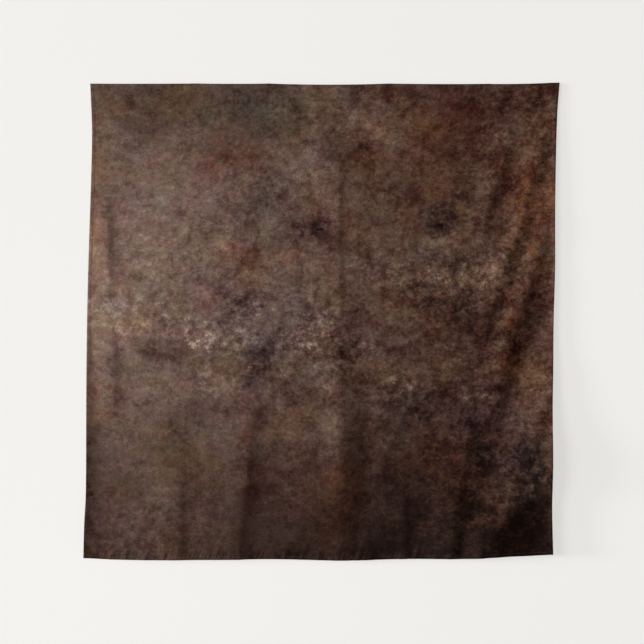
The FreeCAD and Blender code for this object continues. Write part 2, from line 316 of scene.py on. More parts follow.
def new_object(name, points, faces, print_at=None, face_materials=None, flat_faces=0):
    """A mesh object. print_at gives each point's place on the flat cloth; the last flat_faces stay flat."""
    mesh = bpy.data.meshes.new(name)
    mesh.from_pydata(np.asarray(points).tolist(), [], faces)
    smooth_faces = np.ones(len(mesh.polygons), bool)
    if flat_faces:
        smooth_faces[-flat_faces:] = False
    mesh.polygons.foreach_set("use_smooth", smooth_faces)
    if print_at is not None:
        corner_points = np.empty(len(mesh.loops), np.int32)
        mesh.loops.foreach_get("vertex_index", corner_points)
        layer = mesh.uv_layers.new(name="print")
        layer.data.foreach_set("uv", np.asarray(print_at)[corner_points].astype(np.float32).ravel())
    if face_materials is not None:
        mesh.polygons.foreach_set("material_index", np.asarray(face_materials, np.int32))
    mesh.update()
    made = bpy.data.objects.new(name, mesh)
    bpy.context.scene.collection.objects.link(made)
    return made


CELLS_ACROSS, CELLS_DOWN = 260, 264      # about 5 mm
FINER = 3                                # each cell by the hems is cut into this many each way
BORDER_CELLS = 5


def cloth_piece(name, first_row, last_row):
    """The cloth between two rows of cells, as a thin closed sheet with a printed front and a plain back.

    Its cells are finer by the hems.
    """
    def is_fine(i, j):
        by_side = i < BORDER_CELLS or i >= CELLS_ACROSS - BORDER_CELLS
        by_end = j < BORDER_CELLS or j >= CELLS_DOWN - BORDER_CELLS
        return by_side or by_end

    numbers, places, faces = {}, [], []

    def number(i, j):
        key = (i, j)
        if key not in numbers:
            numbers[key] = len(places)
            places.append(key)
        return numbers[key]

    def side(i, j, fine_side, step_i, step_j):
        """The points along one side of a coarse cell, without its last corner."""
        steps = range(FINER) if fine_side else (0,)
        return [number(i + step_i * k, j + step_j * k) for k in steps]

    for j in range(first_row, last_row):
        for i in range(CELLS_ACROSS):
            if is_fine(i, j):
                for b in range(j * FINER, (j + 1) * FINER):
                    for a in range(i * FINER, (i + 1) * FINER):
                        corners = (a, b), (a, b + 1), (a + 1, b + 1), (a + 1, b)
                        faces.append(tuple(number(*corner) for corner in corners))
            else:
                a, b = i * FINER, j * FINER
                faces.append((
                    *side(a, b, is_fine(i - 1, j), 0, 1),
                    *side(a, b + FINER, is_fine(i, j + 1) and j + 1 < last_row, 1, 0),
                    *side(a + FINER, b + FINER, is_fine(i + 1, j), 0, -1),
                    *side(a + FINER, b, is_fine(i, j - 1) and j > first_row, -1, 0),
                ))
    grid = np.array(places, float)
    across, down = grid[:, 0] / (CELLS_ACROSS * FINER), grid[:, 1] / (CELLS_DOWN * FINER)
    front = cloth(across, down)
    back = cloth(across, down, CLOTH_THICKNESS)
    print_at = on_flat_cloth(across, down)

    # The rim joins front and back along every side that belongs to one cell only
    count = len(places)
    sides = dict.fromkeys(pair for face in faces for pair in zip(face, face[1:] + face[:1]))
    rim = [(a, b) for a, b in sides if (b, a) not in sides]
    all_faces = list(faces)
    all_faces += [tuple(reversed([p + count for p in face])) for face in faces]
    all_faces += [(b, a, a + count, b + count) for a, b in rim]
    materials = [0] * len(faces) + [1] * len(faces) + [0] * len(rim)
    points, print_at = np.concatenate([front, back]), np.concatenate([print_at, print_at])
    made = new_object(name, points, all_faces, print_at, materials, len(rim))
    sharpen_rim(made, rim, count)
    return made


def sharpen_rim(piece, rim, count):
    """Keeps the rim's shading apart from the front's and the back's."""
    ends = {tuple(sorted(pair)) for pair in rim} | {tuple(sorted((a + count, b + count))) for a, b in rim}
    mesh = piece.data
    pairs = np.empty(len(mesh.edges) * 2, np.int32)
    mesh.edges.foreach_get("vertices", pairs)
    pairs = np.sort(pairs.reshape(-1, 2), axis=1)
    sharp = [tuple(pair) in ends for pair in pairs.tolist()]
    attribute = mesh.attributes.get("sharp_edge") or mesh.attributes.new("sharp_edge", "BOOLEAN", "EDGE")
    attribute.data.foreach_set("value", sharp)


def tube_faces(rings, sides):
    """Faces of a closed tube whose points come ring after ring."""
    faces = []
    for r in range(rings - 1):
        for s in range(sides):
            t = (s + 1) % sides
            faces.append((r * sides + s, r * sides + t, (r + 1) * sides + t, (r + 1) * sides + s))
    faces.append(tuple(reversed(range(sides))))
    faces.append(tuple((rings - 1) * sides + s for s in range(sides)))
    return faces


# A hem's section: distance in from the cloth's edge, and depth as a share of the hem's thickness
HEM_SECTION = (
    (0.0002, 0.05), (-0.0002, 0.30), (-0.0002, 0.70), (0.0004, 1.0), (0.0030, 1.05), (0.0070, 1.0),
    (0.0092, 0.95), (0.0099, 0.60), (0.0099, 0.30), (0.0094, 0.05), (0.0070, 0.02), (0.0030, 0.02),
)
HEM_RING_SPACING = 0.002
HEM_CLEARANCE = 0.00005  # between the back of the cloth and its hem


def hem(name, side, start, end):
    """One turned hem behind an edge of the cloth, from one share of the edge's length to another."""
    upright = side in ("left", "right")
    length, breadth = (CLOTH_HEIGHT, CLOTH_WIDTH) if upright else (CLOTH_WIDTH, CLOTH_HEIGHT)
    along = np.linspace(start, end, round((end - start) * length / HEM_RING_SPACING))
    rings, flat_rings = [], []
    for inward, depth in HEM_SECTION:
        share = inward / breadth
        behind = CLOTH_THICKNESS + HEM_CLEARANCE + depth * HEM_THICKNESS
        near = np.full(len(along), share if side in ("left", "top") else 1 - share)
        across, down = (near, along) if upright else (along, near)
        rings.append(cloth(across, down, behind))
        flat_rings.append(on_flat_cloth(across, down))
    points, print_at = np.stack(rings, axis=1), np.stack(flat_rings, axis=1)
    if side in ("right", "top"):
        points, print_at = points[::-1], print_at[::-1]
    faces = tube_faces(len(along), len(HEM_SECTION))
    return new_object(name, points.reshape(-1, 3), faces, print_at.reshape(-1, 2))


STITCH_LENGTH, STITCH_GAP, THREAD_RADIUS = 0.0028, 0.0005, 0.00022
# The rings of a stitch: share of its length, then radius and height as shares of the thread's radius
THREAD_RINGS = ((0.0, 0.35, -0.9), (0.12, 0.85, 0.1), (0.5, 1.0, 0.7), (0.88, 0.85, 0.1), (1.0, 0.35, -0.9))
THREAD_SIDES = 6


def stitching(name, side, start, end):
    """A row of stitches along one edge, on the front and on the hem behind: each dives in at both ends."""
    upright = side in ("left", "right")
    length, breadth = (CLOTH_HEIGHT, CLOTH_WIDTH) if upright else (CLOTH_WIDTH, CLOTH_HEIGHT)
    share = STITCH_FROM_EDGE / breadth
    near = share if side in ("left", "top") else 1 - share
    pitch = (STITCH_LENGTH + STITCH_GAP) / length
    starts = np.arange(start, end - pitch, pitch)
    along, wide, raised = np.array(THREAD_RINGS).T
    places = starts[:, None] + along * STITCH_LENGTH / length
    around = np.linspace(0, 2 * np.pi, THREAD_SIDES, endpoint=False)[:, None]
    sideways = np.array([1.0, 0.0, 0.0] if upright else [0.0, 0.0, 1.0])
    faces_of_one = tube_faces(len(THREAD_RINGS), THREAD_SIDES)
    points, faces = [], []
    for behind, outwards in ((0.0, -1.0), (CLOTH_THICKNESS + HEM_THICKNESS, 1.0)):
        middle = cloth(near, places, behind) if upright else cloth(places, near, behind)
        outwards = np.array([0.0, outwards, 0.0])
        ring = np.cos(around) * sideways + np.sin(around) * outwards
        rings = (
            middle[:, :, None, :]
            + THREAD_RADIUS * raised[:, None, None] * outwards
            + THREAD_RADIUS * wide[:, None, None] * ring
        )
        first = len(points) * len(starts) * len(THREAD_RINGS) * THREAD_SIDES
        points.append(rings.reshape(-1, 3))
        for number in range(len(starts)):
            offset = first + number * len(THREAD_RINGS) * THREAD_SIDES
            faces += [tuple(point + offset for point in face) for face in faces_of_one]
    return new_object(name, np.concatenate(points), faces)


# -------------------- materials

def linear(red, green, blue):
    """A colour given as screen values from 0 to 255, as light."""
    def channel(value):
        value /= 255
        return value / 12.92 if value <= 0.04045 else ((value + 0.055) / 1.055) ** 2.4
    return (channel(red), channel(green), channel(blue), 1.0)


def set_inputs(tree, node, inputs):
    """Sets a node's inputs, each to a value or to another node's output."""
    for name, value in inputs.items():
        if isinstance(value, bpy.types.NodeSocket):
            tree.links.new(value, node.inputs[name])
        else:
            node.inputs[name].default_value = value


def add(tree, kind, inputs=None, **settings):
    """A shader node with its settings and inputs."""
    node = tree.nodes.new("ShaderNode" + kind)
    for name, value in settings.items():
        setattr(node, name, value)
    set_inputs(tree, node, inputs or {})
    return node


def number_of(tree, operation, *values):
    """A Math node's result."""
    return add(tree, "Math", dict(enumerate(values)), operation=operation).outputs[0]


def vector_of(tree, operation, *values):
    """A Vector Math node's result."""
    return add(tree, "VectorMath", dict(enumerate(values)), operation=operation).outputs[0]


def tinted(tree, colour, amount, tint):
    """A colour multiplied by a tint (red, green, blue), as strongly as the amount says."""
    inputs = {0: amount, 6: colour, 7: (*tint, 1.0)}
    return add(tree, "Mix", inputs, data_type="RGBA", blend_type="MULTIPLY").outputs[2]


def ramp(tree, factor, stops):
    """A colour ramp through (place, colour) stops."""
    node = add(tree, "ValToRGB", {"Fac": factor})
    elements = node.color_ramp.elements
    while len(elements) < len(stops):
        elements.new(0.5)
    for element, (place, colour) in zip(elements, stops):
        element.position = place
        element.color = colour
    return node.outputs["Color"]


def span(tree, value, low, high, to_low=0.0, to_high=1.0):
    """A value carried smoothly from one span to another, and held at its ends."""
    inputs = {"Value": value, "From Min": low, "From Max": high, "To Min": to_low, "To Max": to_high}
    return add(tree, "MapRange", inputs, interpolation_type="SMOOTHSTEP").outputs["Result"]


def noise(tree, at, scale, detail, roughness=0.5, output="Fac"):
    """Noise of so many spots per metre."""
    inputs = {"Vector": at, "Scale": scale, "Detail": detail, "Roughness": roughness}
    return add(tree, "TexNoise", inputs).outputs[output]


def centred_noise(tree, at, scale, detail, roughness):
    """Noise about zero."""
    return number_of(tree, "SUBTRACT", noise(tree, at, scale, detail, roughness), 0.5)


def new_material(name):
    """A material with nodes, its tree and its Principled shader."""
    material = bpy.data.materials.new(name)
    material.use_nodes = True
    tree = material.node_tree
    tree.nodes.clear()
    shader = add(tree, "BsdfPrincipled")
    output = add(tree, "OutputMaterial")
    tree.links.new(shader.outputs[0], output.inputs[0])
    return material, tree, shader


def bumped(tree, height, strength, distance=0.0002):
    """A surface's direction, bumped by a height."""
    inputs = {"Height": height, "Strength": strength, "Distance": distance}
    return add(tree, "Bump", inputs).outputs["Normal"]


def uneven(tree, spots, low, high):
    """Roughness that a noise varies between two values."""
    return span(tree, spots, 0.2, 0.8, low, high)


CLOTH_GRAIN, TAPE_GRAIN = 0.0009, 0.0008     # the ribs of the grain lie 2 pi times this far apart


def woven_grain(tree, at, grain):
    """The height of a coarse woven grain: two sets of ribs that cross."""
    inputs = {"Vector": at, "Scale": 1 / grain / 20, "Distortion": 0.4, "Detail": 1.0}
    sets = (add(tree, "TexWave", inputs, bands_direction=way).outputs["Fac"] for way in ("X", "Y"))
    return number_of(tree, "ADD", *sets)


def bumped_cloth(tree, at, strength):
    """The direction of a cloth's surface, with its woven grain and slight slubs."""
    slubs = noise(tree, at, 900.0, 2.0)
    return bumped(tree, number_of(tree, "ADD", woven_grain(tree, at, CLOTH_GRAIN), slubs), strength)


# Screen colours of the print, from its darkest to its palest
PRINT_TONES = (
    (0.00, (15, 8, 6)), (0.20, (38, 24, 20)), (0.40, (65, 47, 40)), (0.60, (94, 74, 66)),
    (0.80, (129, 106, 94)), (1.00, (174, 154, 139)),
)

# Stains that lighten or darken the print, and painted shade and painted highlights on the folds: place (x, z)
# on the flat cloth, half size, change of tone
STAINS_AND_PAINTED_LIGHT = {
    "pale upper left": ((-0.46, -0.48), (0.20, 0.22), 0.09),
    "pale patch below the top left": ((-0.42, -0.19), (0.08, 0.05), 0.02),
    "pale left edge": ((-0.58, -0.64), (0.10, 0.10), 0.08),
    "pale patch left of centre": ((-0.29, -0.43), (0.09, 0.06), 0.06),
    "dark by the top left": ((-0.52, -0.05), (0.12, 0.06), -0.11),
    "dark spot at upper left": ((-0.46, -0.41), (0.05, 0.06), -0.03),
    "green shade near the top": ((-0.17, -0.08), (0.08, 0.06), -0.09),
    "green shade left of it": ((-0.30, -0.05), (0.06, 0.05), -0.05),
    "streak below them": ((-0.28, -0.19), (0.11, 0.05), -0.07),
    "streak's lower end": ((-0.14, -0.30), (0.04, 0.07), -0.14),
    "dark patch above centre": ((-0.04, -0.40), (0.07, 0.04), -0.20),
    "dark patch left of centre": ((-0.20, -0.600), (0.06, 0.055), -0.22),
    "dark patch beside it": ((-0.275, -0.60), (0.05, 0.045), -0.13),
    "dark patch over it": ((-0.20, -0.49), (0.04, 0.04), -0.14),
    "dark top right": ((0.38, -0.08), (0.08, 0.07), -0.05),
    "dark spot at the top right": ((0.48, -0.10), (0.04, 0.04), -0.05),
    "pale patch at upper right": ((0.17, -0.16), (0.10, 0.06), 0.06),
    "pale patch above centre": ((-0.05, -0.24), (0.12, 0.08), 0.08),
    "dark upper right": ((0.42, -0.30), (0.11, 0.14), -0.06),
    "dark middle right": ((0.44, -0.70), (0.20, 0.16), -0.05),
    "dark patch right of centre": ((0.07, -0.20), (0.06, 0.05), -0.13),
    "dark patch below it": ((0.20, -0.28), (0.10, 0.08), -0.07),
    "dark knot": ((0.335, -0.365), (0.045, 0.035), -0.22),
    "pale patch below the knot": ((0.35, -0.43), (0.05, 0.04), 0.12),
    "dark patch below that": ((0.375, -0.49), (0.08, 0.04), -0.16),
    "dark flecks at right": ((0.30, -0.60), (0.06, 0.045), -0.10),
    "dark flecks farther right": ((0.40, -0.61), (0.05, 0.04), -0.14),
    "dark flecks": ((-0.15, -0.73), (0.035, 0.05), -0.15),
    "dark flecks below": ((-0.18, -0.79), (0.05, 0.06), -0.16),
    "dark flecks at left": ((-0.43, -0.74), (0.07, 0.05), -0.15),
    "dark flecks by the left edge": ((-0.57, -0.80), (0.03, 0.05), -0.12),
    "dark knot at the crease": ((0.05, -0.74), (0.04, 0.09), -0.20),
    "plum patch": ((0.26, -0.88), (0.10, 0.05), -0.13),
    "plum patch at lower right": ((0.415, -0.97), (0.04, 0.06), -0.06),
    "dark spot by the right edge": ((0.57, -1.03), (0.03, 0.03), -0.22),
    "dark patch at lower left": ((-0.40, -0.97), (0.05, 0.05), -0.09),
    "dark fleck under it": ((0.458, -1.03), (0.025, 0.04), -0.08),
    "dark lower right": ((0.36, -0.98), (0.28, 0.34), -0.08),
    "dark bottom right": ((0.53, -1.27), (0.16, 0.08), -0.14),
    # Painted highlight: paler tone on the lit flank of the fold off the right edge
    "painted highlight by the right edge": ((0.575, -0.86), (0.045, 0.12), 0.09),
    # Painted highlight: paler tone on the lit flank of the great fold
    "painted highlight below it": ((0.535, -1.05), (0.045, 0.09), 0.17),
    # Painted highlight: paler tone along the lit band of the great fold
    "painted highlight at lower right": ((0.475, -1.17), (0.050, 0.07), 0.17),
    "pale lower left": ((-0.50, -1.22), (0.22, 0.18), 0.12),
    # Painted highlight: paler tone at the foot of the great fold's lit band
    "painted highlight at its foot": ((0.425, -1.27), (0.035, 0.05), 0.08),
    # Painted shade in the next five: darker tone on the shaded flanks of the folds at the right
    "painted shade along the slanting fold": ((0.548, -0.70), (0.035, 0.07), -0.07),
    "painted shade below it": ((0.512, -0.81), (0.030, 0.06), -0.06),
    "painted shade along the fold above": ((0.540, -0.44), (0.035, 0.09), -0.13),
    "painted shade along the top fold": ((0.500, -0.25), (0.025, 0.06), -0.07),
    "painted shade by the right edge": ((0.605, -0.49), (0.018, 0.06), -0.06),
    "dark spot at the right edge": ((0.622, -0.18), (0.015, 0.03), -0.16),
    # Painted shade in the next two: darker tone on the shaded flanks of the ridge left of centre and of the
    # centre ridge
    "painted shade left of centre, lower": ((-0.20, -1.06), (0.025, 0.10), -0.06),
    "painted shade below the pocket": ((0.085, -1.08), (0.030, 0.12), -0.04),
    "pale top right corner": ((0.59, -0.06), (0.06, 0.07), 0.07),
    "pale top, right of centre": ((0.10, -0.08), (0.12, 0.07), 0.09),
    "dark below the clusters": ((-0.13, -0.90), (0.12, 0.06), -0.06),
    # Painted highlight: paler tone on the lit slope between the folds at the right
    "painted highlight between the folds": ((0.603, -0.60), (0.024, 0.05), 0.16),
    # Painted light: paler tone over the shade beside the ridge right of centre
    "painted light beside the ridge": ((0.430, -1.06), (0.020, 0.12), 0.08),
    "dark on the ridge": ((0.358, -1.00), (0.026, 0.07), -0.09),
    # Painted shade in the next two: darker tone on the shaded flank of the great fold
    "painted shade in the corner": ((0.590, -1.16), (0.025, 0.05), -0.12),
    "painted shade over the corner": ((0.608, -1.10), (0.018, 0.035), -0.16),
    # Painted shade: darker tone along the left edge where its curl is shaded
    "painted shade on the left hem": ((-0.655, -1.08), (0.010, 0.26), -0.16),
    "pale foot of the centre": ((-0.08, -1.14), (0.12, 0.14), 0.05),
}

# Places where the print breaks up into pale specks: place, half size, change of tone
CLUSTERS = {
    "main cluster": ((-0.330, -0.705), (0.055, 0.045), 0.19),
    "its left end": ((-0.44, -0.66), (0.05, 0.03), 0.07),
    "its lower part": ((-0.30, -0.82), (0.05, 0.04), 0.09),
    "between the clusters": ((-0.20, -0.675), (0.07, 0.03), 0.03),
    "right cluster": ((-0.035, -0.72), (0.055, 0.055), 0.12),
    "over the right cluster": ((0.00, -0.63), (0.05, 0.05), 0.07),
    "flecks at right": ((0.33, -0.555), (0.07, 0.035), 0.10),
    "flecks farther right": ((0.44, -0.53), (0.05, 0.03), 0.09),
    "wisp": ((0.21, -0.825), (0.12, 0.018), 0.11),
    "wisp at right": ((0.42, -0.875), (0.08, 0.02), 0.11),
}

# Tints, some the hue of painted shade and of a painted highlight on the folds: place, half size, and what
# they multiply red, green and blue by
TINTS = {
    "rust by the right edge": ((0.60, -0.24), (0.07, 0.26), (1.09, 0.97, 0.85)),
    "rust at upper right": ((0.24, -0.16), (0.20, 0.14), (1.08, 0.97, 0.88)),
    "rust at the left edge": ((-0.64, -0.50), (0.03, 0.40), (1.07, 0.98, 0.90)),
    "magenta at upper left": ((-0.28, -0.18), (0.12, 0.09), (1.06, 0.90, 0.95)),
    "magenta below it": ((-0.20, -0.48), (0.06, 0.05), (1.08, 0.89, 0.94)),
    "olive near the top": ((-0.20, -0.07), (0.16, 0.09), (0.88, 1.06, 0.98)),
    "olive at the top left": ((-0.45, -0.09), (0.14, 0.12), (0.95, 1.03, 0.92)),
    "grey green left of centre": ((-0.13, -0.33), (0.10, 0.10), (0.92, 1.03, 1.02)),
    "plum at top right": ((0.40, -0.09), (0.12, 0.08), (1.06, 0.84, 0.95)),
    "plum above centre": ((-0.04, -0.40), (0.09, 0.06), (1.00, 0.88, 1.02)),
    "plum left of centre": ((-0.22, -0.60), (0.14, 0.07), (0.98, 0.90, 1.08)),
    "blue knot": ((0.335, -0.365), (0.05, 0.04), (0.86, 0.94, 1.25)),
    "yellow grey below it": ((0.35, -0.43), (0.06, 0.05), (0.98, 1.03, 0.93)),
    "blue grey at right": ((0.36, -0.50), (0.12, 0.06), (0.95, 0.98, 1.06)),
    "grey cluster": ((-0.15, -0.72), (0.32, 0.10), (0.96, 1.02, 1.04)),
    "blue flecks": ((-0.17, -0.77), (0.05, 0.08), (0.88, 0.94, 1.20)),
    "plum at lower right": ((0.40, -0.93), (0.14, 0.09), (0.98, 0.90, 1.08)),
    "blue spot by the right edge": ((0.57, -1.03), (0.04, 0.04), (0.85, 0.90, 1.20)),
    # Painted highlight: a greyer hue on the lit band of the great fold
    "grey painted highlight at lower right": ((0.50, -1.08), (0.07, 0.12), (0.93, 1.02, 1.07)),
    # Painted shade in the next six: a red-brown hue on the shaded flanks of the folds at the right and in the
    # bottom corner
    "red-brown painted shade along the slanting fold": ((0.536, -0.72), (0.028, 0.11), (1.18, 0.86, 0.66)),
    "red-brown painted shade along the fold above": ((0.548, -0.43), (0.024, 0.08), (1.14, 0.90, 0.72)),
    "red-brown painted shade along its upper part": ((0.574, -0.31), (0.022, 0.08), (1.14, 0.90, 0.72)),
    "red-brown painted shade along the top fold": ((0.500, -0.25), (0.025, 0.07), (1.16, 0.86, 0.72)),
    "red-brown painted shade by the right edge, below": ((0.606, -0.50), (0.018, 0.09), (1.16, 0.88, 0.70)),
    "red-brown painted shade in the bottom corner": ((0.57, -1.26), (0.12, 0.09), (1.24, 0.80, 0.64)),
    # Painted shade in the next three: a red-brown hue on the shaded flanks of the ridges
    "red-brown painted shade below the pocket": ((0.088, -1.10), (0.03, 0.12), (1.12, 0.92, 0.82)),
    "red-brown painted shade left of centre": ((-0.20, -1.06), (0.025, 0.12), (1.12, 0.90, 0.82)),
    "red-brown painted shade at the ridge right of centre": ((0.385, -1.10), (0.025, 0.10), (1.14, 0.90, 0.76)),
    "rust at lower right": ((0.34, -1.05), (0.12, 0.10), (1.10, 0.95, 0.84)),
    # Painted shade: a red-brown hue along the left edge where its curl is shaded
    "red-brown painted shade in the left hem": ((-0.652, -1.10), (0.012, 0.30), (1.16, 0.91, 0.76)),
    "rust at the bottom": ((0.06, -1.17), (0.12, 0.12), (1.06, 0.97, 0.88)),
}


def spot(tree, at, place, half_size):
    """1 in the middle of a soft spot, 0 outside it."""
    offset = vector_of(tree, "SUBTRACT", at, (place[0], place[1], 0.0))
    scaled = vector_of(tree, "DIVIDE", offset, (half_size[0], half_size[1], 1.0))
    distance = add(tree, "VectorMath", {0: scaled}, operation="LENGTH").outputs["Value"]
    return span(tree, distance, 0.0, 1.6, 1.0, 0.0)


# The broad change of tone across, at the top and at the bottom: from place to place, the tones there
TONE_ACROSS = (-0.75, 0.60, 0.71, 0.475)
TONE_AT_TOP = (-0.36, 0.06, 0.0, -0.10)
TONE_AT_BOTTOM = (-1.45, -0.74, -0.39, 0.0)

# The mottling's blotches: how many to a metre, and the darkest. Its grain: scale, detail, roughness, strength
BLOTCHES = ((8.0, -0.11), (21.0, -0.10), (52.0, -0.07))
BLOTCH_PALEST = 0.025
GRAIN = ((4.0, 2.0, 0.5, 0.25), (30.0, 8.0, 0.75, 0.60), (85.0, 5.0, 0.8, 0.60))

# Where the print crumbles into flecks: place and half size
CRUMBLY_BANDS = (((-0.12, -0.72), (0.36, 0.16)), ((0.30, -0.60), (0.34, 0.15)))
CRUMBLY_STRENGTH = 1.9

# Tints, as what they multiply red, green and blue by
RUST_AT_RIGHT = (1.05, 0.93, 0.80)
WARM, COOL = (1.09, 1.00, 0.86), (0.94, 0.99, 1.07)
PLUM, OLIVE = (1.05, 0.90, 0.97), (0.96, 1.04, 0.90)
DARK_FLECKS, PALE_FLECKS = (1.14, 0.84, 0.89), (0.96, 1.02, 1.03)

# Every scale of the noise lines up round its origin, so the cloth is moved away from it
CLEAR_OF_ORIGIN = (3.17, 2.71, 0.59)
DRIFT = (0.22, 0.22, 0.0)            # how far the outlines of stains wander
BRUSHED = (0.90, 1.10, 1.0)          # makes the grain a little wider than high


def flat_places(tree):
    """Places on the cloth laid flat, and the same moved for use in a noise."""
    flat = add(tree, "UVMap", uv_map="print").outputs["UV"]
    return flat, vector_of(tree, "ADD", flat, CLEAR_OF_ORIGIN)


def print_mottling(tree, grained, brushed):
    """The print's random change of tone: blotches, then finer and finer grain."""
    mottling = 0.0
    for scale, darkest in BLOTCHES:
        spots = noise(tree, grained, scale, 10.0, 0.76)
        blotches = span(tree, spots, 0.36, 0.54, darkest, BLOTCH_PALEST)
        mottling = number_of(tree, "ADD", blotches, mottling)
    for scale, detail, roughness, strength in GRAIN:
        grain = centred_noise(tree, brushed, scale, detail, roughness)
        mottling = number_of(tree, "MULTIPLY_ADD", grain, strength, mottling)
    return mottling


def print_tone(tree, x, z, at, grained, brushed, crumbs, mottling):
    """How pale the print is: the broad change, then stains with painted shade and highlights, and clusters,
    mottling, crumbly bands and grit.
    """
    tone = span(tree, x, *TONE_ACROSS)
    tone = number_of(tree, "ADD", tone, span(tree, z, *TONE_AT_TOP))
    tone = number_of(tree, "ADD", tone, span(tree, z, *TONE_AT_BOTTOM))
    specks = span(tree, noise(tree, grained, 52.0, 7.0, 0.82), 0.47, 0.62, 0.15, 2.3)
    for patches, broken_up in ((STAINS_AND_PAINTED_LIGHT, crumbs), (CLUSTERS, specks)):
        change = 0.0
        for place, half_size, amount in patches.values():
            change = number_of(tree, "MULTIPLY_ADD", spot(tree, at, place, half_size), amount, change)
        tone = number_of(tree, "MULTIPLY_ADD", change, broken_up, tone)

    # The mottling is calmer at the left and at the bottom, and strongest at the right
    across, down = span(tree, x, -0.65, 0.05, 0.72, 1.0), span(tree, z, -1.25, -0.80, 0.66, 1.0)
    strength = number_of(tree, "MULTIPLY", across, down)
    strength = number_of(tree, "MAXIMUM", strength, span(tree, x, 0.10, 0.55, 0.6, 1.25))
    tone = number_of(tree, "MULTIPLY_ADD", mottling, strength, tone)

    crumbly = centred_noise(tree, grained, 48.0, 8.0, 0.82)
    in_places = span(tree, noise(tree, at, 5.0, 3.0), 0.42, 0.60, 0.2, 1.0)
    crumbly = number_of(tree, "MULTIPLY", crumbly, in_places)
    band = number_of(tree, "MAXIMUM", *(spot(tree, at, *each) for each in CRUMBLY_BANDS))
    crumbly = number_of(tree, "MULTIPLY", crumbly, band)
    tone = number_of(tree, "MULTIPLY_ADD", crumbly, CRUMBLY_STRENGTH, tone)
    grit = centred_noise(tree, brushed, 260.0, 2.0, 0.7)
    return number_of(tree, "MULTIPLY_ADD", grit, span(tree, x, 0.05, 0.50, 0.26, 0.36), tone)


def print_material():
    """The printed front, like old stained plaster: browns, paler at the left, nearly black at lower right;
    painted shade and highlights on the folds.
    """
    material, tree, shader = new_material("printed_front")
    flat, grained = flat_places(tree)
    swirls = noise(tree, grained, 20.0, 6.0, 0.7, "Color")
    drift = vector_of(tree, "SUBTRACT", swirls, (0.5, 0.5, 0.5))
    at = vector_of(tree, "MULTIPLY_ADD", drift, DRIFT, flat)
    brushed = vector_of(tree, "MULTIPLY", grained, BRUSHED)
    split = add(tree, "SeparateXYZ", {0: flat})
    x, z = split.outputs["X"], split.outputs["Y"]
    crumbs = span(tree, noise(tree, brushed, 34.0, 8.0, 0.76), 0.38, 0.62, 0.3, 1.7)
    mottling = print_mottling(tree, grained, brushed)
    tone = print_tone(tree, x, z, at, grained, brushed, crumbs, mottling)
    colour = ramp(tree, tone, [(place, linear(*screen)) for place, screen in PRINT_TONES])

    # The hue: rustier to the right, tinted patches (some painted shade and highlight on the folds), and warm,
    # cool, plum and olive ones broken up finely
    rust = number_of(tree, "MULTIPLY", span(tree, x, -0.35, 0.55), span(tree, z, -1.20, -0.45, 0.45, 1.0))
    colour = tinted(tree, colour, rust, RUST_AT_RIGHT)
    for place, half_size, tint in TINTS.values():
        amount = number_of(tree, "MULTIPLY", spot(tree, at, place, half_size), crumbs)
        colour = tinted(tree, colour, amount, tint)
    warmth = noise(tree, grained, 7.0, 5.0, 0.6)
    colour = tinted(tree, colour, span(tree, warmth, 0.50, 0.66), WARM)
    colour = tinted(tree, colour, span(tree, warmth, 0.50, 0.34), COOL)
    patches = noise(tree, grained, 11.0, 10.0, 0.78)
    colour = tinted(tree, colour, span(tree, patches, 0.50, 0.62), PLUM)
    colour = tinted(tree, colour, span(tree, patches, 0.50, 0.38), OLIVE)

    # Its darker flecks are plum and its paler ones a greyer tan, more so at the right
    across, down = span(tree, x, -0.30, 0.45, 0.30, 1.0), span(tree, z, -1.15, -0.65, 0.6, 1.0)
    flecked = number_of(tree, "MULTIPLY", across, down)
    dark_flecks = number_of(tree, "MULTIPLY", span(tree, mottling, 0.02, -0.16), flecked)
    colour = tinted(tree, colour, dark_flecks, DARK_FLECKS)
    pale_flecks = number_of(tree, "MULTIPLY", span(tree, mottling, 0.01, 0.13), flecked)
    colour = tinted(tree, colour, pale_flecks, PALE_FLECKS)

    set_inputs(tree, shader, {
        "Base Color": colour,
        "Roughness": uneven(tree, noise(tree, grained, 120.0, 3.0), 0.70, 0.86),
        "Specular IOR Level": 0.06,
        "Sheen Weight": 0.02,
        "Sheen Roughness": 0.4,
        "Sheen Tint": linear(150, 124, 108),
        "Normal": bumped_cloth(tree, flat, 0.25),
    })
    return material


def plain_cloth_material(name, screen, show_through):
    """The back of the cloth and its hems: pale polyester that the print shows through a little."""
    material, tree, shader = new_material(name)
    flat, grained = flat_places(tree)
    split = add(tree, "SeparateXYZ", {0: flat})
    across = span(tree, split.outputs["X"], -0.70, 0.60, 0.30, 0.0)
    ghost = number_of(tree, "ADD", across, span(tree, split.outputs["Y"], -1.40, -0.60, 0.0, 0.35))
    for scale, strength in ((8.0, 0.5), (30.0, 0.9), (90.0, 0.6)):
        grain = centred_noise(tree, grained, scale, 6.0, 0.7)
        ghost = number_of(tree, "MULTIPLY_ADD", grain, strength, ghost)
    dark = linear(*(value * (1 - show_through) for value in screen))
    set_inputs(tree, shader, {
        "Base Color": ramp(tree, ghost, [(0.0, dark), (0.75, linear(*screen))]),
        "Roughness": uneven(tree, noise(tree, grained, 150.0, 3.0), 0.80, 0.94),
        "Specular IOR Level": 0.15,
        "Sheen Weight": 0.06,
        "Normal": bumped_cloth(tree, flat, 0.35),
    })
    return material


